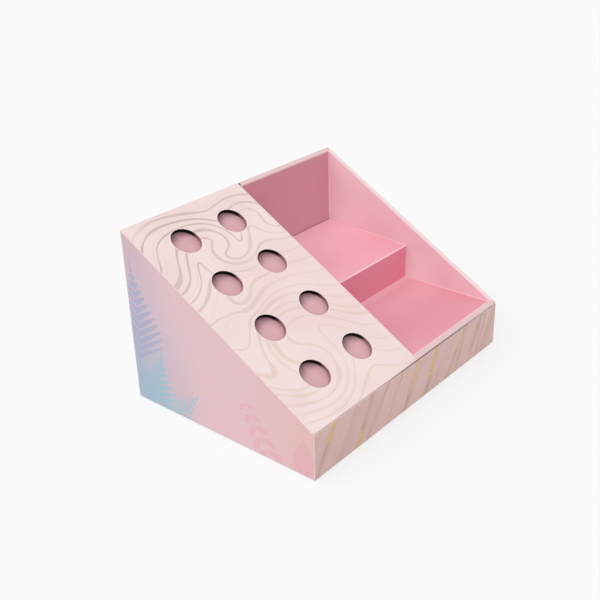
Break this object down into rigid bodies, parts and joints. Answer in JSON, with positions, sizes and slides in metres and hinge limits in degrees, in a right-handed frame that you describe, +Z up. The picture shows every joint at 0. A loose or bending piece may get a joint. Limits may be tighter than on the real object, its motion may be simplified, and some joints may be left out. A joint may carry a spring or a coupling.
{
  "type": "product display box",
  "caption": "Wedge-shaped counter display box of folded board, with a sloping deck of round holes beside an open bay with two stepped shelves.",
  "frame": {"origin": "middle of the underside of the base", "axes": "+X along the width, from the hole deck to the open bay; +Y from the low front to the tall back; +Z up"},
  "size_m": [0.3, 0.22, 0.1756],
  "materials": {
    "outer_print": "matt print, a soft pink field on the sides and pale marble on the front",
    "marble_print": "matt print of pale pink marble",
    "rest_pink": "matt pink paper",
    "liner_pink": "matt pink paper with a paler rim",
    "step_pink": "matt pink paper"
  },
  "bodies": {
    "root": {"outer_tray": "outer_print", "hole_deck": "marble_print", "rest_deck": "rest_pink", "compartment_liner": "liner_pink", "step_insert": "step_pink"}
  },
  "joints": []
}
